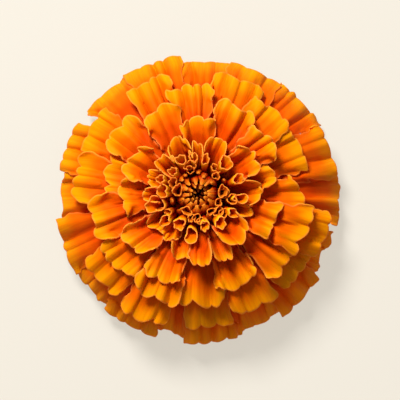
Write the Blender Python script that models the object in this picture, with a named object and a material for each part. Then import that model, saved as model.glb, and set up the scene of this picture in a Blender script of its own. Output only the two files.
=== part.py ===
"""Marigold flower head, picked just below its green cup and resting face up.

Frame: metres, +Z up. The cut of the stalk lies in the plane Z = 0, and the origin is under the middle
of the head. Every floret lies in one of a nest of bowls, so that no two of them cross: level 1 is the
outermost bowl, whose rim droops towards the ground, and level 0 is the axis of the head.
"""

import math
from collections import namedtuple

import bmesh
import bpy
import numpy as np

# The head as a whole
HEAD_RADIUS = 0.0350  # axis to the tips of the outermost bowl
LOWEST_TIP = 0.0018  # height of those tips above the ground
DOME_RISE = 0.0318  # from those tips to the top of the head

# Where the florets stand, and how they leave the cup
INNER_FOOT = 0.0003
OUTER_FOOT = 0.0063
FOOT_HEIGHT = 0.0088
FOOT_RISE = 0.0015  # from the outermost feet to the innermost
LEAN = math.radians(22)
RISE_LENGTH = 0.0180
TIP_LENGTH = 0.0190
TIP_DROOP = math.radians(66)
INNER_LIFT = math.radians(70)

# A ray floret: a narrow claw in the cup, then a fan-shaped blade
RAY_THICKNESS = 0.00028
CLAW_WIDTH = 0.0015
CLAW_SHARE = 0.28  # of the floret's length
CORNER_SETBACK = 0.03  # of the floret's length
RAY_ROWS = 11
RAY_COLUMNS = 4

# Stalk, receptacle and cup, as (radius, height) from below
CUT_RADIUS = 0.0035
GAP = 0.0003  # between neighbouring pieces
CUP_OUTLINE = (
    (0.0046, 0.0026), (0.0060, 0.0036), (0.0071, 0.0056),
    (0.0076, 0.0088), (0.0083, 0.0110), (0.0102, 0.0146),
)
CUP_WALL = 0.0007
CUP_TEETH = 8
CUP_NOTCH = 0.80  # of the outline's length, between the teeth
CUP_ROWS = 9
CUP_COLUMNS = 6 * CUP_TEETH
RECEPTACLE_FLANK = ((0.0043, 0.0026), (0.0057, 0.0037), (0.0067, 0.0057), (0.0070, 0.0075))

TURNED_SEGMENTS = 32

# Each ring of rays: two neighbouring bowls that its florets lie in by turns, the width of a blade at its
# tip, and every floret as its azimuth in degrees and its reach from the axis in millimetres.
Ring = namedtuple("Ring", "name levels blade_width florets")
RINGS = (
    Ring("outer_ray", (1.0, 0.955), 0.0128, (
        (0, 34.8), (20, 34.7), (43, 35.0), (65, 34.5), (87, 33.9), (109, 35.2),
        (130, 34.8), (158, 34.8), (178, 33.6), (200, 35.0), (221, 34.3), (241, 35.5),
        (259, 33.5), (275, 35.5), (295, 34.4), (316, 35.6), (335, 33.6),
    )),
    Ring("second_ray", (0.905, 0.86), 0.0114, (
        (25, 28.8), (48, 29.0), (70, 31.2), (114, 31.3), (147, 31.9), (171, 31.2),
        (220, 32.4), (245, 33.6), (275, 32.6), (298, 31.3), (324, 31.5), (343, 33.0),
    )),
    Ring("third_ray", (0.81, 0.765), 0.0110, (
        (94, 28.0), (141, 26.8), (167, 24.2), (193, 27.2), (219, 27.5), (247, 28.4),
        (272, 28.0), (295, 25.6), (323, 28.2), (341, 28.8), (358, 26.6),
    )),
    Ring("fourth_ray", (0.71, 0.66), 0.0094, (
        (19, 20.2), (38, 23.4), (65, 24.6), (90, 20.0), (115, 24.1),
        (152, 20.2), (181, 20.2), (218, 21.4), (246, 24.3), (340, 21.0),
    )),
)

# The inner florets stand too close for a body each: each ring of them is one crown with a lobe for each.
CUPPED_CROWN = Ring("cupped_ray_crown", (0.56,), 0.0074, (
    (2, 16.6), (34, 17.8), (69, 15.4), (113, 16.2), (134, 14.4), (215, 14.0),
    (250, 17.3), (272, 18.6), (285, 16.8), (297, 18.2), (314, 16.8),
))
TRUMPET_CROWN = Ring("trumpet_crown", (0.40,), 0.0042, tuple(
    (360 / 13 * turn + 9, 10.6 + 0.5 * (-1) ** turn) for turn in range(13)
))
CROWN_THICKNESS = 0.0005
CROWN_ROWS = 6
CROWN_COLUMNS = 72
CROWN_NOTCH = 0.80  # of the lobes' reach

BUD_CLUSTER_RADIUS = 0.0030
BUD_CLUSTER_TOP = 0.0322

COLOURS = {
    "petal_orange": (0.95, 0.33, 0.01),
    "young_floret": (0.70, 0.22, 0.02),
    "cup_green": (0.17, 0.26, 0.05),
    "stalk_green": (0.22, 0.32, 0.09),
}


def material(name):
    """The matte material of that name, made once."""
    found = bpy.data.materials.get(name)
    if found:
        return found
    made = bpy.data.materials.new(name)
    made.use_nodes = True
    shader = made.node_tree.nodes["Principled BSDF"]
    shader.inputs["Base Color"].default_value = (*COLOURS[name], 1)
    shader.inputs["Roughness"].default_value = 0.6
    shader.inputs["Metallic"].default_value = 0.0
    made.diffuse_color = (*COLOURS[name], 1)
    return made


def foot_at(level):
    """(radius, height) of the florets' feet in the bowl at this level."""
    radius = INNER_FOOT + (OUTER_FOOT - INNER_FOOT) * level**1.3
    return radius, FOOT_HEIGHT + FOOT_RISE * (1 - level**2)


def bowl(level, along):
    """(radius, height) of points along the profile of the bowl at this level, a cubic Bezier curve.

    along is 0 at the florets' feet and 1 where the bowl's rim meets the dome of the head.
    """
    lean = LEAN * level
    droop = TIP_DROOP * level**3 - INNER_LIFT * (1 - level)
    rise = RISE_LENGTH * level**0.3
    foot = foot_at(level)
    tip = (
        HEAD_RADIUS * level,
        LOWEST_TIP + DOME_RISE * (1 - level**2.6) ** 0.75,
    )
    above_foot = (foot[0] + rise * math.sin(lean), foot[1] + rise * math.cos(lean))
    before_tip = (
        tip[0] - TIP_LENGTH * level * math.cos(droop),
        tip[1] + TIP_LENGTH * level * math.sin(droop),
    )
    shares = (
        (1 - along) ** 3,
        3 * along * (1 - along) ** 2,
        3 * along**2 * (1 - along),
        along**3,
    )
    corners = (foot, above_foot, before_tip, tip)
    return tuple(
        sum(share * corner[axis] for share, corner in zip(shares, corners))
        for axis in (0, 1)
    )


def along_at(level, reach):
    """How far along the bowl's profile its radius is this reach."""
    along = np.linspace(0.3, 1.2, 400)
    return float(np.interp(reach, bowl(level, along)[0], along))


def profile(level, along):
    """Points on a bowl's profile as (radius, height), and their unit normals, which point inwards and up."""
    step = 1e-4
    points = np.stack(bowl(level, along), axis=-1)
    tangent = np.stack(bowl(level, along + step), axis=-1) - points
    tangent /= np.linalg.norm(tangent, axis=-1, keepdims=True)
    return points, np.stack([-tangent[..., 1], tangent[..., 0]], axis=-1)


def swept(points, azimuths):
    """Points (radius, height) turned round the axis to their azimuths, as a grid of 3D points."""
    radius, height, azimuth = np.broadcast_arrays(
        points[..., 0], points[..., 1], azimuths
    )
    return np.stack(
        [radius * np.cos(azimuth), radius * np.sin(azimuth), height], axis=-1
    )


def grid_faces(index):
    """The quads between neighbouring rows and columns of a grid of vertex numbers."""
    corners = (index[:-1, :-1], index[:-1, 1:], index[1:, 1:], index[1:, :-1])
    return np.stack(corners, axis=-1).reshape(-1, 4)


def add_object(name, points, faces, material_name, parent):
    """A named object, smooth apart from its edges, whose faces point out of it."""
    mesh = bpy.data.meshes.new(name)
    mesh.from_pydata(points.tolist(), [], [list(face) for face in faces])
    body = bmesh.new()
    body.from_mesh(mesh)
    bmesh.ops.recalc_face_normals(body, faces=body.faces)
    body.to_mesh(mesh)
    body.free()
    mesh.shade_smooth()
    mesh.set_sharp_from_angle(angle=math.radians(50))
    mesh.materials.append(material(material_name))
    made = bpy.data.objects.new(name, mesh)
    bpy.context.scene.collection.objects.link(made)
    made.parent = parent
    return made


def add_shell(name, front, back, wraps, material_name, parent):
    """One closed body from two facing grids of points and the strips that join their edges."""
    rows, columns = front.shape[:2]
    index = np.arange(rows * columns).reshape(rows, columns)
    if wraps:
        index = np.hstack([index, index[:, :1]])
    far = index + rows * columns
    strips = [(index[0], far[0]), (index[-1], far[-1])]
    if not wraps:
        strips += [(index[:, 0], far[:, 0]), (index[:, -1], far[:, -1])]
    faces = [grid_faces(index), grid_faces(far)]
    faces += [grid_faces(np.stack(strip)) for strip in strips]
    points = np.concatenate([front.reshape(-1, 3), back.reshape(-1, 3)])
    return add_object(name, points, np.concatenate(faces), material_name, parent)


def add_turned(name, outline, material_name, parent):
    """A solid turned round the axis. Its outline, from the top down, starts and ends on the axis."""
    turns = np.linspace(0, 2 * math.pi, TURNED_SEGMENTS, endpoint=False)
    rings = np.array(outline[1:-1])
    points = swept(rings[:, None], turns[None, :]).reshape(-1, 3)
    index = np.arange(len(points)).reshape(len(rings), TURNED_SEGMENTS)
    index = np.hstack([index, index[:, :1]])
    top, bottom = len(points), len(points) + 1
    poles = [(0, 0, outline[0][1]), (0, 0, outline[-1][1])]
    faces = grid_faces(index).tolist()
    faces += [[top, a, b] for a, b in zip(index[0], index[0][1:])]
    faces += [[bottom, b, a] for a, b in zip(index[-1], index[-1][1:])]
    return add_object(
        name, np.concatenate([points, poles]), faces, material_name, parent
    )


def half_width(share, blade_width):
    """Half the width of a ray floret at a share of its length: even along the claw, then widening."""
    opened = np.clip((share - CLAW_SHARE) / (1 - CLAW_SHARE), 0, 1)
    return (CLAW_WIDTH + (blade_width - CLAW_WIDTH) * opened**0.85) / 2


def add_ray(name, ring, level, azimuth, reach, parent):
    """A ray floret along +X in its bowl, turned to its azimuth."""
    across = np.linspace(-1, 1, RAY_COLUMNS + 1)
    share = np.linspace(0, 1, RAY_ROWS)[:, None] * (1 - CORNER_SETBACK * across**4)
    points, normals = profile(level, share * along_at(level, reach))
    spread = half_width(share, ring.blade_width) * across / points[..., 0]
    offset = normals * RAY_THICKNESS / 2
    front = swept(points + offset, spread)
    back = swept(points - offset, spread)
    made = add_shell(name, front, back, False, "petal_orange", parent)
    made.rotation_euler.z = math.radians(azimuth)
    return made


def add_ring(ring, parent):
    """A ring's florets, each beside a neighbour in the other bowl."""
    for number, (azimuth, reach) in enumerate(ring.florets):
        level = ring.levels[number % len(ring.levels)]
        name = f"{ring.name}_{number + 1:02d}"
        add_ray(name, ring, level, azimuth, reach / 1000, parent)


def add_crown(ring, parent):
    """A ring of florets joined side by side: a bowl whose rim has a rounded lobe for each floret."""
    turns = np.linspace(0, 2 * math.pi, CROWN_COLUMNS, endpoint=False)
    reach = np.zeros(CROWN_COLUMNS)
    for azimuth, tip in ring.florets:
        away = np.abs((turns - math.radians(azimuth) + math.pi) % (2 * math.pi) - math.pi)
        lobe = np.clip(1 - (away * tip / 500 / ring.blade_width) ** 2, 0, 1)
        reach = np.maximum(reach, tip / 1000 * (CROWN_NOTCH + (1 - CROWN_NOTCH) * lobe))
    level = ring.levels[0]
    rim = np.array([along_at(level, far) for far in reach])
    share = np.linspace(0, 1, CROWN_ROWS)[:, None]
    points, normals = profile(level, share * rim)
    offset = normals * CROWN_THICKNESS / 2
    front = swept(points + offset, turns[None, :])
    back = swept(points - offset, turns[None, :])
    return add_shell(ring.name, front, back, True, "petal_orange", parent)


def add_cup(parent):
    """The green cup of joined bracts round the florets' feet, with a pointed tooth for each bract."""
    turns = np.linspace(0, 2 * math.pi, CUP_COLUMNS, endpoint=False)
    tooth = np.abs((turns * CUP_TEETH / math.pi) % 2 - 1)
    top = CUP_NOTCH + (1 - CUP_NOTCH) * tooth
    radius, height = np.array(CUP_OUTLINE).T
    share = np.linspace(0, 1, CUP_ROWS)[:, None] * top
    steps = np.linspace(0, 1, len(radius))
    inner = np.stack(
        [np.interp(share, steps, radius), np.interp(share, steps, height)], axis=-1
    )
    outer = inner + (CUP_WALL, 0)
    return add_shell(
        "green_cup", swept(inner, turns), swept(outer, turns), True, "cup_green", parent
    )


def add_stalk_and_receptacle(parent):
    """The cut stub of the stalk, swelling into the domed receptacle that the florets stand on."""
    feet = [foot_at(level) for level in (0.25, 0.5, 0.75, 1.0)]
    outline = [(0, FOOT_HEIGHT + FOOT_RISE - GAP)]
    outline += [(radius, height - GAP) for radius, height in feet]
    outline += list(reversed(RECEPTACLE_FLANK))
    outline += [(CUT_RADIUS + 0.0002, 0.0012), (CUT_RADIUS, 0), (0, 0)]
    return add_turned("stalk_and_receptacle", outline, "stalk_green", parent)


def add_bud_cluster(parent):
    """The unopened florets in the middle, as one rounded bundle."""
    foot = FOOT_HEIGHT + FOOT_RISE
    outline = [(0, BUD_CLUSTER_TOP)]
    outline += [
        (BUD_CLUSTER_RADIUS * radius, foot + (BUD_CLUSTER_TOP - foot) * height)
        for radius, height in (
            (0.6, 0.99), (0.9, 0.94), (1.0, 0.85), (0.8, 0.6), (0.45, 0.3), (0.3, 0),
        )
    ]
    outline += [(0, foot)]
    return add_turned("bud_cluster", outline, "young_floret", parent)


def centre(head):
    """Moves the head so that the middle of its box is over the origin."""
    bpy.context.view_layer.update()
    corners = np.array([
        child.matrix_world @ vertex.co
        for child in head.children
        for vertex in child.data.vertices
    ])
    middle = (corners.min(axis=0) + corners.max(axis=0)) / 2
    head.location = (-middle[0], -middle[1], 0)


def main():
    for old in list(bpy.data.objects):
        bpy.data.objects.remove(old)
    head = bpy.data.objects.new("flower_head", None)
    bpy.context.scene.collection.objects.link(head)
    add_stalk_and_receptacle(head)
    add_cup(head)
    for ring in RINGS:
        add_ring(ring, head)
    add_crown(CUPPED_CROWN, head)
    add_crown(TRUMPET_CROWN, head)
    add_bud_cluster(head)
    centre(head)


main()
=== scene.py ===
"""The looks of the marigold head: every floret as a thin, fluted skin, nested to keep clear of its neighbours.

Lengths inside the florets' own functions are in millimetres, and a point of the head is given by its nest
coordinates: azimuth round the axis, share along its bowl's profile, and depth, the distance in from the
outermost bowl measured across the bowls. add_mesh turns the millimetres into the frame's metres.
"""

import math
from collections import namedtuple

import bpy
import numpy as np
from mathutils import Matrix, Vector


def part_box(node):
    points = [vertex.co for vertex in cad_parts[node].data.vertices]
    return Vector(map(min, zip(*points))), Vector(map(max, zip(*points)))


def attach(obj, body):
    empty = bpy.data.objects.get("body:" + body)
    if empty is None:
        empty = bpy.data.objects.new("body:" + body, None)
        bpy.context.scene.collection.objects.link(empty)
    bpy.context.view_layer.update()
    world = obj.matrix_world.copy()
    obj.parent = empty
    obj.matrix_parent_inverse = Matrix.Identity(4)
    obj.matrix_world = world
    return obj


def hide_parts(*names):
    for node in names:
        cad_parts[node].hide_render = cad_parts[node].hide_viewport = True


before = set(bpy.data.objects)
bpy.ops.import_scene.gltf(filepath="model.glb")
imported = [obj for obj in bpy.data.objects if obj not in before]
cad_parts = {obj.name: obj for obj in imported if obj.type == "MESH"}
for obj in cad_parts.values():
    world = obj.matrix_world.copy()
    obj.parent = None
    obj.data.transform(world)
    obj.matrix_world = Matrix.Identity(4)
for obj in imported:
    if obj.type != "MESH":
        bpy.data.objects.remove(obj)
AXIS = np.array([*(sum(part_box("stalk_and_receptacle"), Vector()) / 2).xy, 0])
FULL_TURN = 2 * math.pi

# The bowls, as in the CAD part, in millimetres
HEAD_RADIUS = 35.0
LOWEST_TIP = 1.8
DOME_RISE = 31.8
INNER_FOOT, OUTER_FOOT = 0.3, 6.3
FOOT_HEIGHT, FOOT_RISE = 8.8, 1.5
LEAN = math.radians(22)
RISE_LENGTH, TIP_LENGTH = 18.0, 19.0
TIP_DROOP, INNER_LIFT = math.radians(66), math.radians(70)

# The cup and the stalk as (radius, height), in millimetres
CUP_OUTLINE = ((4.6, 2.6), (6.0, 3.6), (7.1, 5.6), (7.6, 8.8), (8.3, 11.0), (10.2, 14.6))
CUP_WALL = 0.7
CUP_TEETH = 8
CUP_NOTCH = 0.80
CUP_LENGTH = 14.0
STALK_OUTLINE = (
    (0.15, 10.0), (1.3, 9.9), (2.7, 9.6), (4.4, 9.1), (6.2, 8.5), (6.8, 7.6), (6.8, 7.0), (6.5, 5.7),
    (5.4, 3.8), (4.0, 2.6), (3.7, 1.9), (3.7, 1.2), (3.6, 0.25), (3.35, 0.02), (2.6, 0.0), (0.15, 0.0),
)

# How finely the pieces are made: rows along them, columns across or round them; the cup's are for one tooth
RAY_ROWS, RAY_COLUMNS = 84, 60
CUPPED_ROWS, CUPPED_COLUMNS = 64, 48
FLORET_ROWS, FLORET_COLUMNS = 40, 34
CUP_ROWS, CUP_COLUMNS = 56, 48
STALK_ROWS, STALK_COLUMNS = 110, 200

# The nest's tables: rows are shares along a profile, columns are depths
ALONG = np.linspace(0, 1.2, 121)
ALONG_STEP = ALONG[1] - ALONG[0]
DEPTH_STEP = 0.05
SHALLOWEST = -1.0

# The common grid on which florets are kept apart: rows as ALONG, columns round the axis
TURNS = 960
GAP_AT_FEET, GAP_AT_TIPS = 0.26, 0.60
SETTLING_ROUNDS, ROUNDS_PER_MASK = 40, 8
GROUND_CLEARANCE = 0.35
# How far a petal's place on that grid goes past its side margins and, as a share of its length, past its tip
PAST_SIDES, PAST_TIP = 1.10, 0.02
# How far a fold's crest moves square to its bowl (1) instead of along the nest's own lines (0)
SQUARENESS = 0.45

# The petals' skins, their claws and a whole profile's length, in millimetres
RAY_THICKNESS, CUPPED_THICKNESS = 0.30, 0.28
CLAW_HALF_WIDTH = 0.72
PROFILE_LENGTH = 40

# The rolled florets, in millimetres: the height of their feet on the axis and its fall to a millimetre
# outwards, the handle they rise by and its lean to a millimetre outwards, half the tube's width and its wall at
# the foot with what both gain further up, and the whole length
FEET_HEIGHT, FEET_FALL = 10.15, 0.12
FEET_HANDLE, FEET_LEAN = 9.0, 0.11
TUBE_AT_FOOT, TUBE_GAIN = 0.13, 0.27
WALL_AT_FOOT, WALL_GAIN = 0.09, 0.13
FLORET_LENGTH = 24

# Every piece draws from its own stream of random numbers, numbered from its kind's seed
RAY_SEED, CUPPED_SEED, TRUMPET_SEED, YOUNG_SEED, CUP_SEED = 20000, 20700, 20800, 20900, 20950
ANY_PHASE = (0, 6.3)

Petal = namedtuple(
    "Petal",
    "name node azimuth level tip width waist opening flare shoulder squareness notch lobes flutes wave curl cup"
    " lift twist uneven thickness rows columns rng",
)
Floret = namedtuple("Floret", "name node slot azimuth foot tip pointing bend mouth lip closing ring rng")

# What the petals of each kind are like: numbers, or ranges to draw from, in the order of drawing. The outer
# ring is broad and square-ended. The inner ones draw all that it does and then their own: rounder shoulders,
# narrower waists, flared fans, and sides that curl and wave more.
OUTER_STYLE = dict(
    stretch=(1.0, 1.12), waist=0.66, opening=0.50, flare=(0.0, 0.07), shoulder=(0.0, 0.02), squareness=7,
    notch=(0.010, 0.020), lobes=(3, 5), flutes=(0.9, 1.5), wave=(0.3, 0.8), curl=(0.0, 0.9), cup=(-0.6, 0.6),
    lift=(-0.3, 0.9), twist=(-0.7, 0.7), uneven=(0.8, 1.6),
)
RING_STYLES = {
    "outer": {},
    "second": dict(
        waist=0.60, opening=0.55, shoulder=(0.02, 0.06), squareness=6, notch=(0.018, 0.034), lift=(0.3, 1.5),
        wave=(0.5, 1.1),
    ),
    "third": dict(
        waist=0.52, opening=0.58, flare=(0.04, 0.14), shoulder=(0.04, 0.08), squareness=3.8,
        notch=(0.024, 0.044), cup=(-0.2, 0.9), lift=(0.4, 1.8), wave=(0.7, 1.2), curl=(0.4, 1.3),
    ),
    "fourth": dict(
        waist=0.54, opening=0.54, flare=(0.0, 0.08), shoulder=(0.05, 0.09), squareness=4.5,
        notch=(0.028, 0.050), lobes=(2, 4), cup=(0.2, 1.2), lift=(0.4, 1.8), wave=(0.7, 1.2), curl=(0.5, 1.4),
    ),
}
CUPPED_STYLE = dict(
    waist=0.66, opening=0.50, flare=0.05, shoulder=0.09, squareness=3.8, notch=(0.035, 0.06), lobes=3,
    flutes=(0.5, 1.0), wave=(0.7, 1.1), curl=1.4, lift=(0.2, 0.9), twist=(-0.3, 0.3), uneven=(0.8, 1.6),
)

# The cupped florets inside the rays: azimuth in degrees, reach, half width, how far the sides stand up
CUPPED = (
    (2, 16.5, 3.6, 1.8), (34, 18.0, 4.4, 2.0), (69, 15.3, 3.2, 3.2), (92, 13.6, 2.2, 1.6),
    (113, 16.0, 3.6, 3.2), (136, 14.2, 2.8, 2.8), (160, 13.6, 2.4, 1.6), (182, 14.0, 2.4, 1.4),
    (215, 14.4, 3.0, 1.8), (236, 14.0, 2.4, 1.4), (254, 17.3, 3.3, 1.4), (272, 18.7, 3.0, 1.2),
    (293, 18.2, 2.5, 1.6), (314, 16.8, 4.5, 2.6), (342, 14.6, 2.5, 1.6),
)
# They stand by turns in two bowls, so that neighbours overlap
CUPPED_LEVELS = (0.53, 0.60)

# The trumpets round the middle: azimuth in degrees, radius of the mouth's centre, half the mouth's width
# round and out, and how far its outer lip stands past its inner one
TRUMPETS = (
    (18, 10.4, 1.25, 1.0, 0.7), (50, 9.9, 1.55, 1.2, 0.9), (74, 8.4, 0.85, 1.1, 0.5), (99, 8.7, 0.9, 1.0, 0.6),
    (116, 9.0, 1.15, 1.0, 0.6), (137, 8.0, 0.95, 0.8, 0.5), (158, 9.6, 0.9, 0.8, 0.5),
    (176, 8.6, 1.5, 1.0, 0.7), (197, 10.6, 1.7, 2.0, 1.4), (219, 10.3, 1.1, 1.2, 0.6),
    (240, 8.6, 1.4, 1.1, 0.6), (262, 10.3, 1.5, 1.3, 1.4), (283, 8.0, 1.0, 1.0, 0.6),
    (306, 9.0, 1.25, 1.2, 0.5), (330, 9.8, 1.0, 1.1, 0.5), (350, 10.4, 1.0, 1.7, 0.8),
)

# Rings of young florets: azimuths in degrees, radius of the feet, radius and height of the tips, half widths
# round and out, the direction they point in at the tip (90 is straight up), how strongly they bend to it, and
# the share of them that are closed, bending further inwards
YOUNG_RINGS = (
    ((4, 24, 42, 57, 91, 108, 122, 155, 195, 209, 222, 257, 267, 300, 315, 332, 347),
     1.8, 7.3, 28.8, (1.15, 0.85), 76, 5.4, 0.35),
    (tuple(range(8, 368, 33)), 1.45, 5.7, 29.0, (1.25, 0.85), 84, 4.4, 0.5),
    (tuple(range(17, 377, 28)), 1.05, 2.8, 28.6, (1.55, 1.05), 118, 4.0, 1.0),
    (tuple(range(4, 364, 36)), 0.7, 1.7, 27.2, (1.25, 0.90), 112, 3.0, 1.0),
    (tuple(range(22, 382, 60)), 0.4, 0.9, 24.6, (0.95, 0.75), 102, 2.2, 1.0),
    ((40, 160, 280), 0.2, 0.3, 22.0, (0.55, 0.55), 62, 3.0, 1.0),
)


def smooth(low, high, x):
    """0 below low, 1 above high, and between them 3x^2 - 2x^3, a step without corners."""
    x = np.clip((x - low) / (high - low), 0, 1)
    return x * x * (3 - 2 * x)


def bezier_shares(t):
    """How much each of a cubic Bezier curve's four control points counts at these shares of its length."""
    return (1 - t) ** 3, 3 * t * (1 - t) ** 2, 3 * t**2 * (1 - t), t**3


def bezier_slopes(t):
    """How fast each of those counts changes there."""
    return -3 * (1 - t) ** 2, 3 * (1 - t) ** 2 - 6 * t * (1 - t), 6 * t * (1 - t) - 3 * t**2, 3 * t**2


def blended(shares, controls):
    """The sum of the controls, each times its share."""
    return sum(share * control for share, control in zip(shares, controls))


def bowl(level, along):
    """(radius, height) of points along the profile of the bowl at this level, a cubic Bezier curve.

    Level 1 is the outermost bowl. The profile leaves its foot with the bowl's lean, reaches its tip with the
    bowl's droop, and its tips together make the dome of the head.
    """
    inside = np.clip(1 - np.abs(level) ** 2.6, 0, None)
    lean = LEAN * level
    droop = TIP_DROOP * level**3 - INNER_LIFT * (1 - level)
    rise = RISE_LENGTH * level**0.3
    foot_r = INNER_FOOT + (OUTER_FOOT - INNER_FOOT) * level**1.3
    foot_z = FOOT_HEIGHT + FOOT_RISE * (1 - level**2)
    tip_r = HEAD_RADIUS * level
    tip_z = LOWEST_TIP + DOME_RISE * inside**0.75
    radii = (foot_r, foot_r + rise * np.sin(lean), tip_r - TIP_LENGTH * level * np.cos(droop), tip_r)
    heights = (foot_z, foot_z + rise * np.cos(lean), tip_z + TIP_LENGTH * level * np.sin(droop), tip_z)
    shares = bezier_shares(along)
    return blended(shares, radii), blended(shares, heights)


def make_nest():
    """Tables over (along, depth): radius and height; and over (along, level): depth.

    Depth grows from the outermost bowl inwards by the distance between neighbouring bowls, measured square
    to their profiles. The levels stand closer together where the big bowls do.
    """
    levels = np.concatenate([np.linspace(0.0, 0.9, 400), 0.9 + 0.15 * np.linspace(0, 1, 900)[1:]])
    radius, height = bowl(levels[None, :], ALONG[:, None])
    step = 1e-4
    ahead_r, ahead_z = bowl(levels[None, :], ALONG[:, None] + step)
    tangent = np.stack([ahead_r - radius, ahead_z - height], axis=-1)
    tangent /= np.linalg.norm(tangent, axis=-1, keepdims=True)
    normal = np.stack([-tangent[..., 1], tangent[..., 0]], axis=-1)
    between = np.diff(np.stack([radius, height], axis=-1), axis=1)
    moved = np.abs((between * (normal[:, 1:] + normal[:, :-1]) / 2).sum(axis=-1))
    inward = np.concatenate([np.cumsum(moved[:, ::-1], axis=1)[:, ::-1], np.zeros((len(ALONG), 1))], axis=1)
    outermost = np.array([np.interp(1.0, levels, row) for row in inward])
    depth = inward - outermost[:, None]
    depths = np.arange(SHALLOWEST, depth.max() + 2, DEPTH_STEP)
    level_at = np.stack([np.interp(depths, row[::-1], levels[::-1]) for row in depth])
    table_r, table_z = bowl(level_at, ALONG[:, None])
    return levels, depth, table_r, table_z


LEVELS, DEPTH_OF_LEVEL, TABLE_R, TABLE_Z = make_nest()


def looked_up(table, row, column):
    """A table's values at fractional rows and columns: the four entries round each place, by nearness."""
    row = np.clip(row, 0, table.shape[0] - 1.001)
    column = np.clip(column, 0, table.shape[1] - 1.001)
    i, j = row.astype(int), column.astype(int)
    a, b = row - i, column - j
    return (
        table[i, j] * (1 - a) * (1 - b)
        + table[i + 1, j] * a * (1 - b)
        + table[i, j + 1] * (1 - a) * b
        + table[i + 1, j + 1] * a * b
    )


def depth_of(level, along):
    """The depth of the bowl at this level, at shares along its profile."""
    per_row = np.array([np.interp(level, LEVELS, row) for row in DEPTH_OF_LEVEL])
    return np.interp(along, ALONG, per_row)


def at_nest(along, depth):
    """(radius, height) of points at these shares along and depths."""
    row, column = along / ALONG_STEP, (depth - SHALLOWEST) / DEPTH_STEP
    return looked_up(TABLE_R, row, column), looked_up(TABLE_Z, row, column)


def in_space(azimuth, along, depth):
    """Points at nest coordinates, in millimetres from the foot of the axis."""
    radius, height = at_nest(along, depth)
    return np.stack([radius * np.cos(azimuth), radius * np.sin(azimuth), height], axis=-1)


def slid(level, along, radius, height):
    """How far points stand ahead of the bowl's own points at these shares along, as a share of its profile.

    It is the way to the point, measured along the profile's tangent, over the tangent's own length.
    """
    step = 1e-3
    own_r, own_z = bowl(level, along)
    ahead_r, ahead_z = bowl(level, along + step)
    way_r, way_z = (ahead_r - own_r) / step, (ahead_z - own_z) / step
    return ((radius - own_r) * way_r + (height - own_z) * way_z) / (way_r**2 + way_z**2)


def along_at(level, reach):
    """How far along the bowl's profile its radius is this reach."""
    along = np.linspace(0.3, 1.2, 400)
    return float(np.interp(reach, bowl(level, along)[0], along))


def blade(petal, share):
    """Half the petal's width at shares of its length.

    A narrow claw opens to the waist, a share of the full width, and the waist opens to a fan that may flare at
    its tip: claw + (width - claw) * (waist * first step + (1 - waist) * second step + flare).
    """
    waist = petal.waist * smooth(0.10, 0.50, share)
    fan = (1 - petal.waist) * smooth(petal.opening, 0.98, share)
    horn = petal.flare * smooth(0.84, 1.0, share)
    return CLAW_HALF_WIDTH + (petal.width - CLAW_HALF_WIDTH) * (waist + fan + horn)


def made_creases(petal):
    """Where across the petal, from -1 to 1, the creases between its flutes are, with its two sides."""
    creases = np.linspace(-1, 1, petal.lobes + 1)
    if petal.lobes > 1:
        creases[1:-1] += petal.rng.uniform(-0.18, 0.18, petal.lobes - 1) * 3 / petal.lobes
    return creases


def lobe_at(creases, across):
    """Which lobe a place across the petal is in, and how far through it: whole numbers are at the creases."""
    return np.interp(across, creases, np.arange(len(creases)))


def setback(petal, creases, across):
    """How far short of the tip the margin ends, as a share of the length.

    It adds rounded shoulders, notches at the creases and lobes that aren't all as long as each other.
    """
    edge = np.clip(np.abs(across), 0, 1)
    shoulder = petal.shoulder * (1 - (1 - edge**petal.squareness) ** 0.5)
    bulge = np.abs(np.sin(math.pi * lobe_at(creases, across))) ** 0.6
    inner = 1 - smooth(0.75, 1.0, edge)
    shorter = 0.3 * petal.notch * (1 + np.cos(petal.uneven * 2.4 * (across + 2)))
    return shoulder + petal.notch * (1 - bulge) * inner + shorter * inner


def made_relief(petal, creases):
    """The petal's relief as a function of (across, share): how far the sheet stands above its bowl.

    It adds a broad wave and creased flutes that grow towards the margin, a curl of the sides and a wave along
    them, and a cupping, a lift and a twist of the whole blade.
    """
    rng = petal.rng
    heights = rng.uniform(0.6, 1.3, petal.lobes)
    broad_turns, broad_phase = rng.uniform(4.2, 6.5), rng.uniform(*ANY_PHASE)
    fine_turns, fine_phase = rng.uniform(14, 20), rng.uniform(*ANY_PHASE)
    bend, bend_phase = rng.uniform(0.03, 0.10), rng.uniform(*ANY_PHASE)
    side_waves = [(rng.uniform(20, 38), rng.uniform(*ANY_PHASE)) for _ in range(2)]
    curls = rng.uniform(0.4, 1.3, 2)

    def relief(across, share):
        """The sum of them all, in millimetres."""
        grown = smooth(0.42, 1.0, share) ** 1.1
        moved = across + bend * np.sin(7 * share + bend_phase)
        lobe = lobe_at(creases, moved)
        which = np.clip(lobe.astype(int), 0, petal.lobes - 1)
        ridge = heights[which] * np.abs(np.sin(math.pi * lobe)) ** 0.9 - 0.5
        broad = 0.62 * np.sin(moved * broad_turns + broad_phase)
        fine = 0.07 * np.sin(moved * fine_turns + fine_phase)
        height = petal.flutes * grown * (ridge + broad + fine)
        for side, (turns, phase), curl in zip((-1, 1), side_waves, curls):
            near = smooth(0.40, 1.05, across * side)
            height = height + petal.wave * grown * near * np.sin(share * turns + phase)
            height = height + petal.curl * curl * grown * smooth(0.60, 1.1, across * side) ** 1.5
        height = height + petal.cup * across**2 * smooth(0.30, 0.95, share)
        height = height + petal.lift * smooth(0.50, 1.0, share) ** 1.5
        return height + petal.twist * across * grown

    return relief


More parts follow.
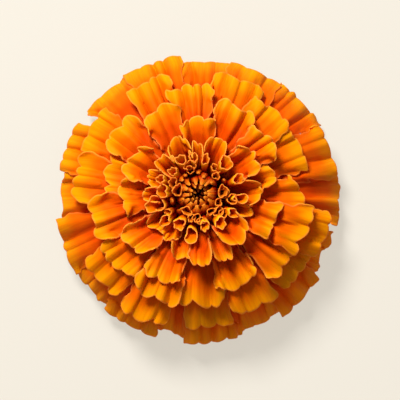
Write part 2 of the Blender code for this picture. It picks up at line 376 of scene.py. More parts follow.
class Sheet:
    """A petal's field of depths over its window of the common grid."""

    def __init__(self, petal):
        """The field starts as the depth of the petal's own bowl plus its relief."""
        self.petal = petal
        self.creases = made_creases(petal)
        self.side_wave = [petal.rng.uniform((26, 0, 75, 0), (44, 6.3, 115, 6.3)) for _ in range(2)]
        relief = made_relief(petal, self.creases)
        along = ALONG[:, None]
        share = along / petal.tip
        half_angle = blade(petal, np.clip(share, 0, 1.1)) / bowl(petal.level, along)[0]
        reach = int(np.ceil(min(half_angle.max() * 1.25, math.pi * 0.9) / FULL_TURN * TURNS)) + 3
        self.first = int(round(petal.azimuth / FULL_TURN * TURNS)) - reach
        columns = np.arange(self.first, self.first + 2 * reach + 1)
        across = (columns[None, :] / TURNS * FULL_TURN - petal.azimuth) / half_angle
        held = np.clip(across, -1.15, 1.15)
        self.within = np.abs(across) <= PAST_SIDES
        self.ends = 1 - setback(petal, self.creases, held)
        self.depth = depth_of(petal.level, ALONG)[:, None] + relief(held, np.clip(share, 0, 1.03))
        self.wrapped = columns % TURNS
        self.find_mask()

    def find_mask(self):
        """Marks the places of the common grid that stand square above some part of the petal's outline.

        The foot of the square line is found by steps back along the bowl, by how far the place has slid.
        """
        start = ALONG[:, None] + 0 * self.depth
        radius, height = at_nest(start, self.depth)
        foot = start
        for _ in range(6):
            foot = np.clip(foot + 0.8 * slid(self.petal.level, foot, radius, height), 0, 1.25)
        foot = start + SQUARENESS * (foot - start)
        self.mask = self.within & (foot / self.petal.tip <= self.ends + PAST_TIP)

    def above(self, azimuth, along):
        """The shares along and depths of the sheet over points of its own bowl, partly square above them."""
        here = along
        for _ in range(10):
            radius, height = at_nest(here, self.sampled(azimuth, here))
            here = np.clip(here - 0.6 * slid(self.petal.level, along, radius, height), 0, 1.19)
        here = along + SQUARENESS * (here - along)
        return here, self.sampled(azimuth, here)

    def sideways(self, across, share):
        """How much wider the petal is towards each side, where its side margins wave in and out."""
        wider = 0 * across
        for side, (turns, phase, fine_turns, fine_phase) in zip((-1, 1), self.side_wave):
            waves = 0.075 * np.sin(share * turns + phase) + 0.022 * np.sin(share * fine_turns + fine_phase)
            wider = wider + smooth(0.2, 1.0, across * side) * waves
        return 1 + wider * smooth(0.4, 0.8, share) * (1 - 0.6 * smooth(0.88, 1.0, share))

    def sampled(self, azimuth, along):
        """The field's depth at points given by azimuth and share along the bowl."""
        return looked_up(self.depth, along / ALONG_STEP, azimuth / FULL_TURN * TURNS - self.first)


def blurred(field, rounds):
    """A field smoothed along both axes with the weights 1, 2, 1, its borders repeated."""
    for _ in range(rounds):
        wide = np.pad(field, 1, mode="edge")
        field = (wide[:-2, 1:-1] + 2 * wide[1:-1, 1:-1] + wide[2:, 1:-1]) / 4
        wide = np.pad(field, 1, mode="edge")
        field = (wide[1:-1, :-2] + 2 * wide[1:-1, 1:-1] + wide[1:-1, 2:]) / 4
    return field


def lowest_depths():
    """The least depth allowed at each share along: clear of the ground, and inside the cup near the feet."""
    depths = SHALLOWEST + np.arange(TABLE_Z.shape[1]) * DEPTH_STEP
    least = np.array([depths[np.argmax(row > GROUND_CLEARANCE)] for row in TABLE_Z])
    return np.where(ALONG < 0.4, np.maximum(least, 0.0), least)


def settle(sheets):
    """Moves overlapping petals apart until each clears the one under it.

    The sheets run from the outermost to the innermost. Each round finds, at every place of the common grid,
    where a sheet is closer than the gap to the one under it, and shares a smoothed correction between them.
    A last pass inwards lifts whatever is still too low.
    """
    gap = (GAP_AT_FEET + (GAP_AT_TIPS - GAP_AT_FEET) * smooth(0.05, 0.4, ALONG))[:, None]
    ground = lowest_depths()[:, None]
    blurs, share_up, share_down, nothing_above = 5, 0.75, 0.5, 99.0
    for turn in range(SETTLING_ROUNDS):
        if turn % ROUNDS_PER_MASK == ROUNDS_PER_MASK - 1:
            for sheet in sheets:
                sheet.find_mask()
        under = np.repeat(ground, TURNS, axis=1)
        for sheet in sheets:
            here = under[:, sheet.wrapped]
            short = np.where(sheet.mask, np.clip(here - sheet.depth, 0, None), 0)
            sheet.depth += blurred(short, blurs) * share_up
            under[:, sheet.wrapped] = np.where(sheet.mask, np.maximum(here, sheet.depth + gap), here)
        over = np.full((len(ALONG), TURNS), nothing_above)
        for sheet in reversed(sheets):
            here = over[:, sheet.wrapped]
            short = np.where(sheet.mask, np.clip(sheet.depth - here, 0, None), 0)
            sheet.depth -= blurred(short, blurs) * share_down
            sheet.depth = np.maximum(sheet.depth, ground)
            over[:, sheet.wrapped] = np.where(sheet.mask, np.minimum(here, sheet.depth - gap), here)
    under = np.repeat(ground, TURNS, axis=1)
    for sheet in sheets:
        here = under[:, sheet.wrapped]
        sheet.depth = np.where(sheet.mask, np.maximum(sheet.depth, here), sheet.depth)
        under[:, sheet.wrapped] = np.where(sheet.mask, np.maximum(here, sheet.depth + gap), here)


def grid_normals(points, wraps):
    """Unit normals of a grid of points, from the differences between its neighbours."""
    if wraps:
        padded = np.concatenate([points[:, -1:], points, points[:, :1]], axis=1)
        across = (padded[:, 2:] - padded[:, :-2]) / 2
    else:
        across = np.gradient(points, axis=1)
    normals = np.cross(across, np.gradient(points, axis=0))
    return normals / np.maximum(np.linalg.norm(normals, axis=-1, keepdims=True), 1e-9)


def grid_faces(index):
    """The quads between neighbouring rows and columns of a grid of vertex numbers."""
    corners = (index[:-1, :-1], index[:-1, 1:], index[1:, 1:], index[1:, :-1])
    return np.stack(corners, axis=-1).reshape(-1, 4)


def shell(points, thickness, wraps=False):
    """A closed skin round a sheet of points: its front, its back, and a rim that bulges between them.

    The front and back stand half the thickness off the sheet along its normals, and the rim's middle 0.8 of
    that outwards. Returns the points, the faces and, for each point, which row and column of the sheet it came
    from and which side it is on: 0 for the front, 1 for the back and 0.5 for the rim.
    """
    rows, columns = points.shape[:2]
    normals = grid_normals(points, wraps)
    half = (thickness / 2)[..., None]
    index = np.arange(rows * columns).reshape(rows, columns)
    if wraps:
        index = np.hstack([index, index[:, :1]])
        loops = [(index[0, :-1], -1), (index[-1, :-1], 1)]
    else:
        loops = [(np.concatenate([index[0, :], index[1:, -1], index[-1, -2::-1], index[-2:0:-1, 0]]), 0)]
    faces = [grid_faces(index)[:, ::-1], grid_faces(index + rows * columns)]
    parts = [(points + normals * half).reshape(-1, 3), (points - normals * half).reshape(-1, 3)]
    sources = [np.arange(rows * columns)] * 2
    sides = [np.zeros(rows * columns), np.ones(rows * columns)]
    flat, flat_half = points.reshape(-1, 3), half.reshape(-1, 1)
    count = 2 * rows * columns
    for loop, way in loops:
        rim = flat[loop]
        if way:
            outward = rim - flat[loop - way * columns]
        else:
            tangent = np.roll(rim, -1, axis=0) - np.roll(rim, 1, axis=0)
            outward = np.cross(tangent, normals.reshape(-1, 3)[loop])
        outward /= np.maximum(np.linalg.norm(outward, axis=-1, keepdims=True), 1e-9)
        parts.append(rim + outward * flat_half[loop] * 0.8)
        sources.append(loop)
        sides.append(np.full(len(loop), 0.5))
        bulge = np.arange(len(loop)) + count
        count += len(loop)
        front, next_front = loop, np.roll(loop, -1)
        back, next_back = front + rows * columns, next_front + rows * columns
        next_bulge = np.roll(bulge, -1)
        upper = np.stack([front, next_front, next_bulge, bulge], axis=-1)
        lower = np.stack([bulge, next_bulge, next_back, back], axis=-1)
        if way == 1:
            upper, lower = upper[:, ::-1], lower[:, ::-1]
        faces += [upper, lower]
    return np.concatenate(parts), np.concatenate(faces), np.concatenate(sources), np.concatenate(sides)


def add_mesh(name, points, face_blocks, attributes, material, node):
    """A finished piece in the frame: millimetres become metres, and the axis stands where the CAD has it."""
    mesh = bpy.data.meshes.new(name)
    faces = [face for block in face_blocks for face in block.tolist()]
    mesh.from_pydata((points / 1000 + AXIS).tolist(), [], faces)
    for key, values in attributes.items():
        layer = mesh.attributes.new(key, "FLOAT", "POINT")
        layer.data.foreach_set("value", values.astype(np.float32))
    mesh.shade_smooth()
    mesh.materials.append(material)
    piece = bpy.data.objects.new(name, mesh)
    bpy.context.scene.collection.objects.link(piece)
    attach(piece, "root")
    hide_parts(node)


def skin_attributes(across, from_tip, margin, sources, sides, tint, ring):
    """What the materials read at each point of a skin.

    They are where it is on its sheet, in millimetres across, from the tip and from the nearest margin, which
    side it is on, and its piece's own tint and ring.
    """
    return {
        "across": across.reshape(-1)[sources],
        "from_tip": from_tip.reshape(-1)[sources],
        "margin": margin.reshape(-1)[sources],
        "side": sides,
        "tint": np.full(len(sources), tint),
        "ring": np.full(len(sources), ring),
    }


def add_petal(sheet, material):
    """The finished petal of a settled sheet: a grid of places across and along it, looked up in the sheet.

    The grid is closer towards the side margins and the tip, where the folds are.
    """
    petal = sheet.petal
    u = np.linspace(-1, 1, petal.columns)
    u = np.sign(u) * (1 - (1 - np.abs(u)) ** 1.25)
    v = np.linspace(0, 1, petal.rows) ** 0.75
    across, share = np.meshgrid(u, v)
    ends = 1 - setback(petal, sheet.creases, across)
    share = share * (1 - (1 - ends) * smooth(0.2, 1.0, share))
    along = share * petal.tip
    width = blade(petal, share)
    azimuth = petal.azimuth + across * sheet.sideways(across, share) * width / bowl(petal.level, along)[0]
    points = in_space(azimuth, *sheet.above(azimuth, along))
    thickness = petal.thickness * (1.0 - 0.25 * (1 - share))
    skin, faces, sources, sides = shell(points, thickness)
    from_tip = (ends - share) * (petal.tip * PROFILE_LENGTH)
    margin = np.minimum((1 - np.abs(across)) * width, from_tip)
    attributes = skin_attributes(
        across * width, from_tip, margin, sources, sides, petal.rng.uniform(), petal.level
    )
    add_mesh(petal.name, skin, [faces], attributes, material, petal.node)


def drawn(style, rng):
    """A style with a number drawn from each of its ranges; the number of lobes is whole."""
    numbers = {}
    for key, value in style.items():
        if isinstance(value, tuple):
            value = int(rng.integers(*value)) if key == "lobes" else rng.uniform(*value)
        numbers[key] = value
    return numbers


def read_rays(ring):
    """The petals of one ring, with azimuth, level, reach and width taken from their CAD nodes' own points.

    The azimuth is the way to the middle of the points, the reach that of the foremost points on the middle
    line, and the level that of the bowl which is as high there.
    """
    petals = []
    prefix = f"{ring}_ray_"
    for node in sorted(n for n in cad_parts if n.startswith(prefix)):
        points = np.array([vertex.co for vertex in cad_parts[node].data.vertices])
        points = (points - AXIS) * 1000
        heading = points[:, :2].mean(axis=0)
        azimuth = math.atan2(heading[1], heading[0])
        forward = points[:, 0] * math.cos(azimuth) + points[:, 1] * math.sin(azimuth)
        sideways = points[:, 1] * math.cos(azimuth) - points[:, 0] * math.sin(azimuth)
        middle = np.abs(sideways) < 0.3
        tips = np.argsort(forward[middle])[-2:]
        reach, height = forward[middle][tips].mean(), points[middle][tips, 2].mean()
        tried = np.linspace(0.4, 1.0, 400)
        heights = [bowl(level, np.array(along_at(level, reach)))[1] for level in tried]
        level = float(np.interp(-height, -np.array(heights), tried))
        number = int(node[-2:])
        rng = np.random.default_rng(RAY_SEED + number * 10 + len(prefix))
        style = drawn(OUTER_STYLE, rng) | drawn(RING_STYLES[ring], rng)
        width = np.abs(sideways).max() * style.pop("stretch")
        petals.append(Petal(
            name=f"{ring}_petal_{number:02d}", node=node, azimuth=azimuth, level=level,
            tip=along_at(level, reach), width=width, thickness=RAY_THICKNESS, rows=RAY_ROWS,
            columns=RAY_COLUMNS, rng=rng, **style,
        ))
    return petals


def cupped_petals():
    """The cupped florets as petals, each beside a neighbour in another bowl."""
    petals = []
    for number, (azimuth, reach, width, cup) in enumerate(CUPPED, start=1):
        rng = np.random.default_rng(CUPPED_SEED + number)
        level = CUPPED_LEVELS[number % 2]
        petals.append(Petal(
            name=f"cupped_petal_{number:02d}", node="cupped_ray_crown", azimuth=math.radians(azimuth),
            level=level, tip=along_at(level, reach), width=width, cup=cup, thickness=CUPPED_THICKNESS,
            rows=CUPPED_ROWS, columns=CUPPED_COLUMNS, rng=rng, **drawn(CUPPED_STYLE, rng),
        ))
    return petals


def rolled_floret(floret, material):
    """A rolled floret: a tube from its foot to a crumpled, flared mouth.

    Its middle line is a cubic Bezier curve in the plane of its azimuth, from its foot's radius upwards and a
    little outwards to its tip (radius, height), reached pointing this many degrees up from straight outwards.
    Round it the wall is an ellipse with a few waves and a seam where the petal's sides meet. It is thin at the
    foot and flares at an open mouth, or narrows there by the share closing, and the outer lip reaches further.
    """
    rng, closing = floret.rng, floret.closing
    theta = np.linspace(0, FULL_TURN, FLORET_COLUMNS, endpoint=False)[None, :]
    v = np.linspace(0, 1, FLORET_ROWS)[:, None] ** 0.85
    waves = rng.integers(4, 7)
    crumple = 0
    for size, turns in ((0.10, 2), (0.12, 3), (0.08, waves)):
        crumple = crumple + size * np.cos(turns * theta + rng.uniform(*ANY_PHASE))
    ragged = 1 - closing
    seam = rng.uniform(-0.7, 0.7)
    from_seam = np.abs((theta - seam + math.pi) % FULL_TURN - math.pi)
    shape = (1 + ragged * crumple * smooth(0.6, 1, v)) * (1 + 0.25 * ragged * smooth(0.86, 1.0, v))
    shape = shape * (1 - closing * smooth(0.74, 1.0, v) ** 1.6)
    shape = shape * (1 - closing * 0.5 * np.exp(-((from_seam / 0.35) ** 2)) * smooth(0.3, 0.6, v))
    tube = TUBE_AT_FOOT + TUBE_GAIN * smooth(0.25, 0.70, v)
    opening = smooth(0.48, 0.97 - 0.20 * (closing > 0), v) ** 1.2
    mouth_round, mouth_out = (width / 1.25 for width in floret.mouth)
    half_round = (tube * 1.1 + (mouth_round - tube * 1.1) * opening) * shape
    half_out = (tube + (mouth_out - tube) * opening) * shape
    scallop = ragged * rng.uniform(0.15, 0.35) * np.cos(waves * theta + rng.uniform(*ANY_PHASE))
    longer = (floret.lip * np.cos(theta) + scallop) * smooth(0.72, 1.0, v)

    start, tip = np.array([floret.foot, FEET_HEIGHT - FEET_FALL * floret.foot]), np.array(floret.tip)
    aim = math.radians(floret.pointing)
    rising = start + FEET_HANDLE * np.array([FEET_LEAN * floret.foot, 1.0])
    controls = (start, rising, tip - np.array([math.cos(aim), math.sin(aim)]) * floret.bend, tip)
    middle = blended(bezier_shares(v), controls)
    ahead = blended(bezier_slopes(v), controls)
    ahead /= np.linalg.norm(ahead, axis=-1, keepdims=True)
    turned = floret.azimuth + rng.uniform(-0.06, 0.06) * smooth(0.5, 1.0, v)
    radial = np.stack([np.cos(turned), np.sin(turned), 0 * turned], axis=-1)
    sideways = np.stack([-np.sin(turned), np.cos(turned), 0 * turned], axis=-1)
    up = np.array([0.0, 0.0, 1.0])
    centre = radial * middle[:, None, :1] + up * middle[:, None, 1:]
    tangent = radial * ahead[:, None, :1] + up * ahead[:, None, 1:]
    outward = np.cross(sideways, tangent)
    points = (
        centre
        + tangent * longer[..., None]
        + outward * (half_out * np.cos(theta))[..., None]
        + sideways * (half_round * np.sin(theta))[..., None]
    )
    wall = WALL_AT_FOOT + WALL_GAIN * smooth(0.3, 0.7, v) + 0 * theta
    skin, faces, sources, sides = shell(points, wall, wraps=True)
    from_tip = (1 - v + 0 * theta) * FLORET_LENGTH
    across = theta / FULL_TURN * 9 + 0 * v
    margin = np.minimum(from_tip, 0.10 + from_seam * half_round) if closing else from_tip
    attributes = skin_attributes(across, from_tip, margin, sources, sides, rng.uniform(), floret.ring)
    add_mesh(floret.name, skin, [faces], attributes, material, floret.node)


def add_trumpets(material):
    """The curled trumpets: open rolled florets that lean out from the middle, the outer ones a little lower."""
    for number, (azimuth, radius, mouth_round, mouth_out, lip) in enumerate(TRUMPETS, start=1):
        rng = np.random.default_rng(TRUMPET_SEED + number)
        height = 29.6 - 0.15 * (radius - 9) + rng.uniform(-0.4, 0.4)
        rolled_floret(Floret(
            name=f"trumpet_floret_{number:02d}", node="trumpet_crown", slot="petal",
            azimuth=math.radians(azimuth), foot=0.6 + 0.16 * radius, tip=(radius, height), pointing=58,
            bend=7.0, mouth=(mouth_round, mouth_out), lip=lip, closing=0.0, ring=0.40, rng=rng,
        ), material)


def add_young_florets(material):
    """Rings of small rolled florets, each a little off its place. Closed ones bend further inwards."""
    count = 0
    for azimuths, foot, radius, height, mouth, pointing, bend, closed in YOUNG_RINGS:
        for azimuth in azimuths:
            count += 1
            rng = np.random.default_rng(YOUNG_SEED + count)
            turned = math.radians(azimuth + rng.uniform(-6.0, 6.0))
            tip = (radius * rng.uniform(0.80, 1.16), height + rng.uniform(-0.9, 0.7))
            opened = (mouth[0] * rng.uniform(0.65, 1.2), mouth[1] * rng.uniform(0.65, 1.2))
            is_closed = rng.uniform() < closed
            aim = pointing + 38 * is_closed + rng.uniform(-14, 10)
            if is_closed and radius > 5:
                tip = (tip[0] - 1.2, tip[1] - 0.2)
            rolled_floret(Floret(
                name=f"young_floret_{count:02d}", node="bud_cluster", slot="young_floret", azimuth=turned,
                foot=foot, tip=tip, pointing=aim, bend=bend, mouth=opened, lip=rng.uniform(0.1, 0.6),
                closing=0.75 * is_closed, ring=0.30, rng=rng,
            ), material)


def swept(radius, height, turns):
    """Points of an outline turned round the axis; its radius and height may vary with the turn."""
    return np.stack([radius * np.cos(turns), radius * np.sin(turns), height + 0 * turns], axis=-1)


def add_cup(material):
    """The cup of joined bracts: its wall is thicker at each bract's rib and thinner at the seams between.

    The mid-surface is the outline turned round the axis, ended at a pointed tooth for each bract.
    """
    rng = np.random.default_rng(CUP_SEED)
    turns = np.linspace(0, FULL_TURN, CUP_COLUMNS * CUP_TEETH, endpoint=False)
    phase = (turns * CUP_TEETH / FULL_TURN) % 1 - 0.5
    tooth = np.abs((turns * CUP_TEETH / math.pi) % 2 - 1)
    longer = np.repeat(rng.uniform(-0.012, 0.012, CUP_TEETH), CUP_COLUMNS)
    top = CUP_NOTCH + (1 - CUP_NOTCH + longer * tooth) * tooth**0.8
    share = np.linspace(0, 1, CUP_ROWS)[:, None] * top
    grown = smooth(0.0, 0.25, share) * (1 - 0.7 * smooth(0.75, 1.0, share))
    from_rib = np.abs(np.abs(phase) - 0.5)
    rib = 0.30 * np.exp(-((from_rib / 0.07) ** 2)) - 0.22 * np.exp(-(((0.5 - from_rib) / 0.035) ** 2))
    fine = 0.05 * np.cos(turns * 9 * CUP_TEETH) + 0.04 * np.cos(turns * 14 * CUP_TEETH + 1.0)
    wall = CUP_WALL * (1 - 0.35 * smooth(0.8, 1.0, share)) + (rib + fine) * grown
    steps = np.linspace(0, 1, len(CUP_OUTLINE))
    radius, height = (np.interp(share, steps, values) for values in np.array(CUP_OUTLINE).T)
    radius += wall / 2 + 0.25 * smooth(0.88, 1.0, share) ** 2
    points = swept(radius, height, turns[None, :])
    skin, faces, sources, sides = shell(points, wall, wraps=True)
    across = turns[None, :] * 7 + 0 * share
    from_top = (top - share) * CUP_LENGTH
    attributes = skin_attributes(across, from_top, from_top, sources, sides, 0.3, 1.0)
    add_mesh("green_cup_of_bracts", skin, [faces], attributes, material, "green_cup")


def add_stalk(material):
    """The stalk's stub and the receptacle, an outline turned round the axis, ribbed below and pitted where cut.

    The ribs are a wave of the radius with the turn and the pit a ring of dents in the cut. A fan of triangles
    closes each end.
    """
    knots = np.array(STALK_OUTLINE)
    steps = np.concatenate([[0], np.cumsum(np.linalg.norm(np.diff(knots, axis=0), axis=1))])
    places = np.linspace(0, steps[-1], STALK_ROWS)
    outline = np.stack([np.interp(places, steps, knots[:, column]) for column in (0, 1)], axis=-1)
    for _ in range(6):
        outline[1:-1] = (outline[:-2] + 2 * outline[1:-1] + outline[2:]) / 4
    plain_radius, plain_height = outline[:, :1], outline[:, 1:]
    turns = np.linspace(0, FULL_TURN, STALK_COLUMNS, endpoint=False)[None, :]
    low = 1 - smooth(3.0, 6.0, plain_height)
    grown = low * smooth(0.0, 1.2, plain_radius) * smooth(0.0, 0.6, plain_height)
    radius = plain_radius * (1 + grown * (0.045 * np.cos(11 * turns) + 0.012 * np.cos(37 * turns)))
    cut = (plain_height < 0.6) * smooth(0.2, 0.9, plain_radius) * (1 - smooth(1.2, 2.2, plain_radius))
    height = plain_height + 0 * turns + 0.10 * cut * (0.6 + 0.4 * np.cos(23 * turns))
    points = swept(radius, height, turns)
    rows, columns = radius.shape
    index = np.arange(rows * columns).reshape(rows, columns)
    ring = np.hstack([index, index[:, :1]])
    flat = np.concatenate([points.reshape(-1, 3), [points[0].mean(axis=0)], [points[-1].mean(axis=0)]])
    above, below = rows * columns, rows * columns + 1
    caps = [(above, ring[0, :-1], ring[0, 1:]), (below, ring[-1, 1:], ring[-1, :-1])]
    triangles = np.concatenate([np.stack([np.full(columns, pole), a, b], axis=-1) for pole, a, b in caps])
    sources = np.concatenate([np.arange(rows * columns), [0, rows * columns - 1]])
    across = 5 * turns + 0 * radius
    down = places[:, None] + 0 * turns
    margin = np.where(height < 0.35, 0.3, 3.0)
    attributes = skin_attributes(across, down, margin, sources, np.zeros(len(sources)), 0.6, 1.0)
    add_mesh(
        "stalk_stub_and_receptacle", flat, [grid_faces(ring), triangles], attributes, material,
        "stalk_and_receptacle",
    )


class Paint:
    """A material in the making, with one method for each kind of node that the skins share."""

    def __init__(self, name):
        """It starts with no nodes."""
        self.material = bpy.data.materials.new(name)
        self.material.use_nodes = True
        self.nodes, self.links = self.material.node_tree.nodes, self.material.node_tree.links
        self.nodes.clear()

    def feed(self, socket, value):
        """Sets a socket to a number or a colour, or links it to another node's output."""
        if isinstance(value, (int, float)):
            socket.default_value = value
        elif isinstance(value, tuple):
            socket.default_value = (*value, 1)
        else:
            self.links.new(value, socket)

    def attribute(self, key):
        """One of the skin's own attributes."""
        node = self.nodes.new("ShaderNodeAttribute")
        node.attribute_name = key
        return node.outputs["Fac"]

    def maths(self, kind, a, b, clamp=False):
        """The sum, difference, product or quotient of two values, kept from 0 to 1 where it is clamped."""
        node = self.nodes.new("ShaderNodeMath")
        node.operation, node.use_clamp = kind, clamp
        self.feed(node.inputs[0], a)
        self.feed(node.inputs[1], b)
        return node.outputs[0]

    def mix(self, factor, a, b, blend="MIX"):
        """Colour a, with this share of b over it."""
        node = self.nodes.new("ShaderNodeMix")
        node.data_type, node.blend_type = "RGBA", blend
        for socket, value in ((node.inputs[0], factor), (node.inputs[6], a), (node.inputs[7], b)):
            self.feed(socket, value)
        return node.outputs[2]

    def noise(self, vector, scale, detail):
        """Cloudy noise from 0 to 1, with this many clouds to a unit of the vector."""
        node = self.nodes.new("ShaderNodeTexNoise")
        node.inputs["Scale"].default_value = scale
        node.inputs["Detail"].default_value = detail
        self.links.new(vector, node.inputs["Vector"])
        return node.outputs[0]

    def clouds(self, per_metre, detail):
        """Noise that fills the space of the frame, with this many clouds to a metre."""
        return self.noise(self.nodes.new("ShaderNodeTexCoord").outputs["Object"], per_metre, detail)

    def streaks(self, per_millimetre, detail, along=0.07):
        """Noise stretched along a floret: this many streaks to a millimetre across, and long ones along."""
        combined = self.nodes.new("ShaderNodeCombineXYZ")
        parts = (("across", per_millimetre), ("from_tip", along), ("tint", 37.0))
        for socket, (key, factor) in zip(combined.inputs, parts):
            self.links.new(self.maths("MULTIPLY", self.attribute(key), factor), socket)
        return self.noise(combined.outputs[0], 1.0, detail)

    def ramp(self, factor, stops):
        """A colour that changes with a value: the stops are the two ends first, then what is between them."""
        node = self.nodes.new("ShaderNodeValToRGB")
        node.color_ramp.interpolation = "EASE"
        elements = node.color_ramp.elements
        for number, (position, colour) in enumerate(stops):
            element = elements[number] if number < 2 else elements.new(position)
            element.position, element.color = position, (*colour, 1)
        self.links.new(factor, node.inputs[0])
        return node.outputs[0]

    def bump(self, height, strength, distance):
        """Small relief of the surface, this many metres deep."""
        node = self.nodes.new("ShaderNodeBump")
        node.inputs["Strength"].default_value = strength
        node.inputs["Distance"].default_value = distance
        self.links.new(height, node.inputs["Height"])
        return node.outputs[0]

    def finish(self, colour, bump, roughness, gloss, through=None, share_through=0.0):
        """Ends in a Principled shader, mixed with light that comes through where the skin is thin."""
        surface = self.nodes.new("ShaderNodeBsdfPrincipled")
        surface.inputs["Roughness"].default_value = roughness
        surface.inputs["Specular IOR Level"].default_value = gloss
        self.links.new(colour, surface.inputs["Base Color"])
        self.links.new(bump, surface.inputs["Normal"])
        output = self.nodes.new("ShaderNodeOutputMaterial")
        shaded = surface.outputs[0]
        if through is not None:
            behind = self.nodes.new("ShaderNodeBsdfTranslucent")
            self.links.new(through, behind.inputs["Color"])
            self.links.new(bump, behind.inputs["Normal"])
            both = self.nodes.new("ShaderNodeMixShader")
            both.inputs[0].default_value = share_through
            self.links.new(shaded, both.inputs[1])
            self.links.new(behind.outputs[0], both.inputs[2])
            shaded = both.outputs[0]
        self.links.new(shaded, output.inputs["Surface"])
        return self.material


def petal_material(name, base_red_and_shade, middle, tip, rim, rim_highlight_strength, back, red_and_shade_reach):
    """A petal's skin: bright at its tip and deep red within this many millimetres, that red partly its own
    colour and partly painted shade of the crowded bases, painted shade in the folds, veins, and a pale rim of
    painted highlight.

    The distance from the tip, over a reach that grows with the ring, picks the colour, so the inner petals take
    the painted shade nearer their tips. Folds darken it with painted shade and veins with their own darker
    colour, each petal is tinted a little, the back is duller, and the inner petals' margins have a thin pale
    rim, a painted highlight of light caught on and shining through the thin edges.
    """
    mottling, fold_painted_shade, veins_darken, streaks_start, tints, dulls = 0.16, 1.5, 0.9, 1.05, 0.18, 0.5
    rim_highlight_width, rim_highlight_sharpness, last_ring_with_rim_highlight = 0.37, 3.6, 1.25
    shade, tinted, seen_through, share_through = (0.74, 0.42, 0.3), (0.97, 0.78, 0.6), (1.0, 0.34, 0.2), 0.44
    paint = Paint(name)
    maths, mix = paint.maths, paint.mix
    ring, tint = paint.attribute("ring"), paint.attribute("tint")
    # Painted shade: the ramp from the yellow tip to the deep red base is partly the petal's own colour and
    # partly painted shade of the crowded, deep-set bases, reached sooner on the inner rings.
    reach = maths("MULTIPLY", maths("ADD", ring, 0.10), red_and_shade_reach)
    mottle = maths("MULTIPLY", maths("SUBTRACT", paint.clouds(260, 3), 0.5), mottling)
    share = maths("ADD", maths("DIVIDE", paint.attribute("from_tip"), reach), mottle)
    colour = paint.ramp(share, ((0.02, tip), (0.82, base_red_and_shade), (0.44, middle)))
    # Painted shade: the fold streaks darken the colour as shade in fine creases would; the vein streaks are the
    # petal's own darker colour.
    folds, veins = paint.streaks(1.1, 2), paint.streaks(3.4, 4)
    streak = maths("ADD", maths("MULTIPLY", folds, fold_painted_shade), maths("MULTIPLY", veins, veins_darken))
    shaded_colour = mix(1.0, colour, shade, "MULTIPLY")
    colour = mix(maths("SUBTRACT", streak, streaks_start, clamp=True), colour, shaded_colour)
    colour = mix(maths("MULTIPLY", tint, tints), colour, mix(1.0, colour, tinted, "MULTIPLY"))
    colour = mix(maths("MULTIPLY", paint.attribute("side"), dulls), colour, back)
    # Painted highlight: the pale rim along the inner petals' margins stands for light caught on and shining
    # through their thin edges.
    from_inside = maths("SUBTRACT", rim_highlight_width, paint.attribute("margin"))
    near = maths("MULTIPLY", from_inside, rim_highlight_sharpness, clamp=True)
    inner = maths("MULTIPLY", maths("SUBTRACT", last_ring_with_rim_highlight, ring, clamp=True), rim_highlight_strength)
    colour = mix(maths("MULTIPLY", near, inner), colour, rim)
    bump = paint.bump(maths("ADD", folds, veins), strength=0.35, distance=0.00025)
    through = mix(1.0, colour, seen_through, "MULTIPLY")
    return paint.finish(colour, bump, roughness=0.55, gloss=0.03, through=through, share_through=share_through)


def green_material(name, dark, light, gland, edge):
    """Green skin of the cup and stalk: fine ribs, dark dashes of oil glands, and a paler, drier edge."""
    glands_start, gland_sharpness, edge_width, edge_sharpness = 0.60, 7.0, 1.1, 0.8
    paint = Paint(name)
    maths, mix = paint.maths, paint.mix
    clouds = paint.clouds(420, 4)
    fibres = paint.streaks(2.2, 3, along=0.12)
    colour = mix(maths("MULTIPLY", maths("ADD", clouds, fibres), 0.5), dark, light)
    dashes = maths("SUBTRACT", paint.streaks(1.5, 0, along=0.42), glands_start, clamp=True)
    colour = mix(maths("MULTIPLY", dashes, gland_sharpness, clamp=True), colour, gland)
    near = maths("SUBTRACT", edge_width, paint.attribute("margin"))
    colour = mix(maths("MULTIPLY", near, edge_sharpness, clamp=True), colour, edge)
    bump = paint.bump(maths("ADD", fibres, maths("MULTIPLY", clouds, 0.5)), strength=0.4, distance=0.0003)
    return paint.finish(colour, bump, roughness=0.46, gloss=0.35)


def add_light(name, azimuth, elevation, distance, size, power, colour):
    """A round soft light at this azimuth and elevation in degrees, facing the head."""
    light = bpy.data.lights.new(name, "AREA")
    light.shape, light.size, light.energy, light.color = "DISK", size, power, colour
    lamp = bpy.data.objects.new(name, light)
    bpy.context.scene.collection.objects.link(lamp)
    a, e = math.radians(azimuth), math.radians(elevation)
    away = Vector((math.cos(a) * math.cos(e), math.sin(a) * math.cos(e), math.sin(e)))
    lamp.location = away * distance
    lamp.rotation_euler = away.to_track_quat("Z", "Y").to_euler()


def add_floor():
    """A plain pale floor just under the head, faintly lit of itself so that it stays pale in soft light."""
    side, drop = 1.5, 0.00005
    mesh = bpy.data.meshes.new("floor")
    corners = [(-side, -side), (side, -side), (side, side), (-side, side)]
    mesh.from_pydata([(x, y, -drop) for x, y in corners], [], [(0, 1, 2, 3)])
    floor = bpy.data.objects.new("floor", mesh)
    bpy.context.scene.collection.objects.link(floor)
    paper = bpy.data.materials.new("pale_lit_floor")
    paper.use_nodes = True
    surface = paper.node_tree.nodes["Principled BSDF"]
    surface.inputs["Base Color"].default_value = (0.13, 0.125, 0.115, 1)
    surface.inputs["Roughness"].default_value = 0.8
    surface.inputs["Emission Color"].default_value = (1.0, 0.93, 0.80, 1)
    surface.inputs["Emission Strength"].default_value = 0.61
    mesh.materials.append(paper)


def add_camera():
    """A camera far overhead, tilted a little, that sees this width at the height of the target."""
    view_width, distance, tilt = 0.0972, 0.8, math.radians(3)
    target = Vector((0, 0, 0.012))
    data = bpy.data.cameras.new("camera")
    data.sensor_width = 36
    data.lens = data.sensor_width * distance / view_width
    camera = bpy.data.objects.new("camera", data)
    bpy.context.scene.collection.objects.link(camera)
    camera.location = target + Vector((0, -math.sin(tilt), math.cos(tilt))) * distance
    camera.rotation_euler = (tilt, 0, 0)
    bpy.context.scene.camera = camera


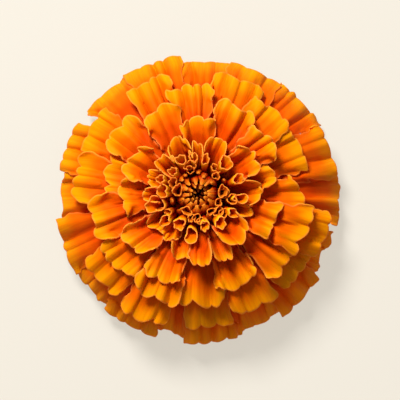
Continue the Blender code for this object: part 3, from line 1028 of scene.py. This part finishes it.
def add_stage():
    """The floor, a soft key light from the upper left, a weak fill, a dim sky and the camera overhead."""
    add_floor()
    add_light("key", azimuth=116, elevation=54, distance=0.8, size=0.26, power=14.4, colour=(1.0, 0.97, 0.92))
    add_light("fill", azimuth=-60, elevation=60, distance=1.0, size=0.8, power=0.5, colour=(1.0, 0.97, 0.93))
    world = bpy.data.worlds.new("soft_sky")
    world.use_nodes = True
    sky = world.node_tree.nodes["Background"]
    sky.inputs["Color"].default_value = (1.0, 0.97, 0.92, 1)
    sky.inputs["Strength"].default_value = 0.29
    bpy.context.scene.world = world
    bpy.context.scene.view_settings.view_transform = "Standard"
    add_camera()


def main():
    """Builds the head from its outermost ring inwards, then what stands under it and the stage."""
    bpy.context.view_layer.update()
    # In the petal skins, each base colour and its reach are partly the florets' own deep red and partly painted
    # shade at their bases, and each rim colour is a painted highlight.
    petal_skin = petal_material(
        "petal_skin", base_red_and_shade=(0.56, 0.009, 0.0), middle=(0.78, 0.166, 0.0), tip=(0.87, 0.58, 0.0),
        rim=(0.97, 0.35, 0.07), rim_highlight_strength=0.80, back=(0.84, 0.13, 0.0), red_and_shade_reach=11.8,
    )
    young_skin = petal_material(
        "young_skin", base_red_and_shade=(0.38, 0.010, 0.0), middle=(0.62, 0.12, 0.003), tip=(0.84, 0.33, 0.010),
        rim=(0.94, 0.34, 0.055), rim_highlight_strength=0.5, back=(0.76, 0.22, 0.005), red_and_shade_reach=12.0,
    )
    cup_skin = green_material(
        "cup_skin", dark=(0.055, 0.12, 0.018), light=(0.19, 0.29, 0.055), gland=(0.03, 0.05, 0.012),
        edge=(0.30, 0.27, 0.06),
    )
    stalk_skin = green_material(
        "stalk_skin", dark=(0.10, 0.17, 0.035), light=(0.26, 0.36, 0.10), gland=(0.07, 0.11, 0.03),
        edge=(0.48, 0.52, 0.26),
    )
    petals = [petal for ring in RING_STYLES for petal in read_rays(ring)] + cupped_petals()
    petals.sort(key=lambda petal: -petal.level)
    sheets = [Sheet(petal) for petal in petals]
    settle(sheets)
    for sheet in sheets:
        add_petal(sheet, petal_skin)
    add_trumpets(petal_skin)
    add_young_florets(young_skin)
    add_cup(cup_skin)
    add_stalk(stalk_skin)
    add_stage()


main()
